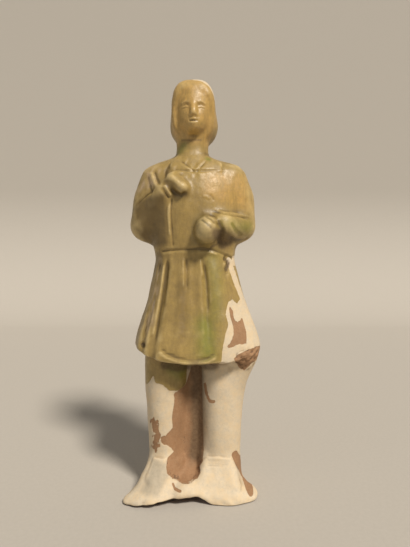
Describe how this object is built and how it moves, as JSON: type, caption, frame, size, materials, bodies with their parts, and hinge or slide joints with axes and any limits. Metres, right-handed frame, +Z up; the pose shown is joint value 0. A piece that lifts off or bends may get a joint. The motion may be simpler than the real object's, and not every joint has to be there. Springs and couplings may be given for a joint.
{
  "type": "standing groom figure",
  "caption": "Standing tomb groom in a belted, pleated coat and close cap, both fists raised as if holding reins, on a thin spreading base.",
  "frame": {"origin": "under the middle of the figure's bounding box, at the height of the base's underside", "axes": "+Z up the figure, front towards -Y, the figure's left hand towards +X"},
  "size_m": [0.0794, 0.0542, 0.2406],
  "materials": {
    "glazed_pottery": "worn straw and olive glaze over cream slip, bare on the legs and base"
  },
  "bodies": {
    "root": {"groom_figure": "glazed_pottery"}
  },
  "joints": []
}
